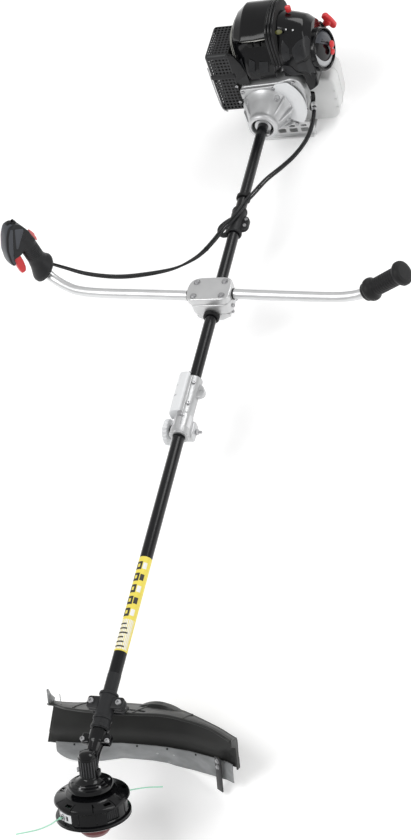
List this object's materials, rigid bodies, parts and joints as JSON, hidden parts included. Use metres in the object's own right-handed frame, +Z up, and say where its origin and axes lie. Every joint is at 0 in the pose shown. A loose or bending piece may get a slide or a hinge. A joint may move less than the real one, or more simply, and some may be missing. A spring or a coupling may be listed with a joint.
{
  "type": "brush cutter",
  "caption": "Petrol brush cutter: rear engine on a split shaft with a wide two-handed handlebar, angled gearcase, bump-feed line head and guard.",
  "frame": {"origin": "centre of the footprint on the floor, with the machine lying on the skid under its engine and on the skirt of its guard", "axes": "+Y along the machine towards the engine (the shaft leans 3.1 degrees down towards the engine), +X to the operator's left, +Z up"},
  "size_m": [0.8844, 1.9545, 0.34],
  "materials": {
    "black_gloss": "gloss moulded",
    "grey_plastic": "fine grain",
    "guard_plastic": "matte moulded",
    "painted_tube": "semi-gloss paint",
    "cast_aluminium": "as cast",
    "bar_tube": "satin",
    "steel": "machined",
    "red_plastic": "moulded",
    "knob_plastic": "moulded",
    "rubber": "moulded",
    "tank_plastic": "translucent white",
    "skirt_plastic": "translucent",
    "nylon_line": "extruded",
    "foam": "open foam"
  },
  "bodies": {
    "machine": {"upper_tube": "painted_tube", "coupler_body": "cast_aluminium", "coupler_cover": "cast_aluminium", "harness_clamp": "grey_plastic", "handlebar": "bar_tube", "handlebar_clamp_top": "cast_aluminium", "handlebar_clamp_middle": "cast_aluminium", "handlebar_clamp_base": "cast_aluminium", "left_grip": "rubber", "control_grip": "grey_plastic", "throttle_cable": "rubber", "clutch_housing": "cast_aluminium", "fan_housing": "cast_aluminium", "crankcase": "cast_aluminium", "cylinder": "cast_aluminium", "muffler": "steel", "muffler_guard": "black_gloss", "top_cover": "black_gloss", "carburettor_hood": "black_gloss", "air_filter_cover": "grey_plastic", "air_filter": "foam", "carburettor": "cast_aluminium", "fuel_tank": "tank_plastic", "engine_stand": "cast_aluminium", "starter_housing": "grey_plastic"},
    "lower_unit": {"lower_tube": "painted_tube", "gearcase": "black_gloss", "guard_bracket_cap": "grey_plastic", "guard_bracket_base": "grey_plastic", "guard": "guard_plastic", "guard_skirt": "skirt_plastic", "line_knife": "steel"},
    "line_head": {"spindle": "steel", "bevel_gear": "steel", "head_cap": "black_gloss", "head_housing": "black_gloss", "line_end_a": "nylon_line", "line_end_b": "nylon_line", "head_spring": "steel"},
    "bump_unit": {"spool": "grey_plastic", "bump_knob": "knob_plastic"},
    "lower_drive": {"lower_drive_shaft": "steel", "drive_pinion": "steel"},
    "upper_drive": {"upper_drive_shaft": "steel", "clutch_drum": "steel"},
    "crank": {"crankshaft": "steel", "flywheel": "cast_aluminium", "clutch_rotor": "steel"},
    "trigger": {"throttle_trigger": "red_plastic"},
    "lock": {"throttle_lock": "red_plastic"},
    "switch": {"stop_switch": "red_plastic"},
    "throttle_valve": {"throttle_arm": "steel"},
    "choke": {"choke_lever": "red_plastic"},
    "cap": {"fuel_cap": "black_gloss"},
    "starter_grip": {"starter_handle": "red_plastic", "starter_rope": "rubber"},
    "starter_drum": {"starter_pulley": "grey_plastic"},
    "coupler_screw": {"coupler_knob": "cast_aluminium"},
    "cover_screw": {"cover_knob": "red_plastic"}
  },
  "joints": [
    {"name": "lower_unit_slide", "type": "slide", "parent": "machine", "child": "lower_unit", "axis": [0, -0.9985, 0.0541], "range_m": [0, 0.1]},
    {"name": "head_spin", "type": "hinge", "parent": "lower_unit", "child": "line_head", "pos_m": [0.0085, -0.84784, 0.19545], "axis": [0, 0.6704, 0.742], "continuous": true},
    {"name": "bump", "type": "slide", "parent": "line_head", "child": "bump_unit", "axis": [0, 0.6704, 0.742], "range_m": [0, 0.004], "stiffness_N_per_m": 1500, "springref_m": -0.004},
    {"name": "lower_drive_spin", "type": "hinge", "parent": "lower_unit", "child": "lower_drive", "pos_m": [0.0085, -0.50994, 0.17715], "axis": [0, 0.9985, -0.0541], "continuous": true},
    {"name": "upper_drive_spin", "type": "hinge", "parent": "machine", "child": "upper_drive", "pos_m": [0.0085, 0.28889, 0.13389], "axis": [0, 0.9985, -0.0541], "continuous": true},
    {"name": "crank_spin", "type": "hinge", "parent": "machine", "child": "crank", "pos_m": [0.0085, 0.83809, 0.10415], "axis": [0, 0.9985, -0.0541], "continuous": true},
    {"name": "trigger_pull", "type": "hinge", "parent": "machine", "child": "trigger", "pos_m": [-0.42019, 0.23644, 0.26475], "axis": [0.7605, -0.6231, 0.1826], "range_deg": [0, 16], "stiffness_Nm_per_rad": 0.3, "springref_deg": -11.46},
    {"name": "throttle_turn", "type": "hinge", "parent": "machine", "child": "throttle_valve", "pos_m": [0.0805, 0.86811, 0.21469], "axis": [0, 0.0541, 0.9985], "range_deg": [0, 48.5]},
    {"name": "lock_press", "type": "hinge", "parent": "machine", "child": "lock", "pos_m": [-0.38577, 0.28533, 0.28828], "axis": [-0.7605, 0.6231, -0.1826], "range_deg": [0, 8], "stiffness_Nm_per_rad": 0.4, "springref_deg": -11.46},
    {"name": "switch_slide", "type": "slide", "parent": "machine", "child": "switch", "axis": [0.6315, 0.7752, 0.0153], "range_m": [0, 0.004]},
    {"name": "choke_turn", "type": "hinge", "parent": "machine", "child": "choke", "pos_m": [0.1695, 0.86913, 0.1966], "axis": [1, 0, 0], "range_deg": [0, 50]},
    {"name": "cap_turn", "type": "hinge", "parent": "machine", "child": "cap", "pos_m": [0.1205, 0.92552, 0.05435], "axis": [0, 0.9985, -0.0541], "range_deg": [0, 180]},
    {"name": "starter_pull", "type": "slide", "parent": "machine", "child": "starter_grip", "axis": [0.8825, 0.0254, 0.4696], "range_m": [0, 0.8], "stiffness_N_per_m": 10, "springref_m": -0.6},
    {"name": "starter_drum_spin", "type": "hinge", "parent": "machine", "child": "starter_drum", "pos_m": [0.0085, 0.94093, 0.09858], "axis": [0, 0.9985, -0.0541], "range_deg": [0, 1650]},
    {"name": "coupler_knob_turn", "type": "hinge", "parent": "machine", "child": "coupler_screw", "pos_m": [0.0085, -0.12564, 0.13531], "axis": [1, 0, 0], "range_deg": [0, 720]},
    {"name": "cover_knob_turn", "type": "hinge", "parent": "machine", "child": "cover_screw", "pos_m": [0.0895, 0.89068, 0.29859], "axis": [0, 0.0541, 0.9985], "range_deg": [0, 180]}
  ],
  "couplings": [
    {"joint": "lower_drive_spin", "follows": "head_spin", "ratio": -1.4},
    {"joint": "upper_drive_spin", "follows": "head_spin", "ratio": -1.4},
    {"joint": "throttle_turn", "follows": "trigger_pull", "ratio": 3},
    {"joint": "starter_drum_spin", "follows": "starter_pull", "rad_per_m": 35.714}
  ]
}
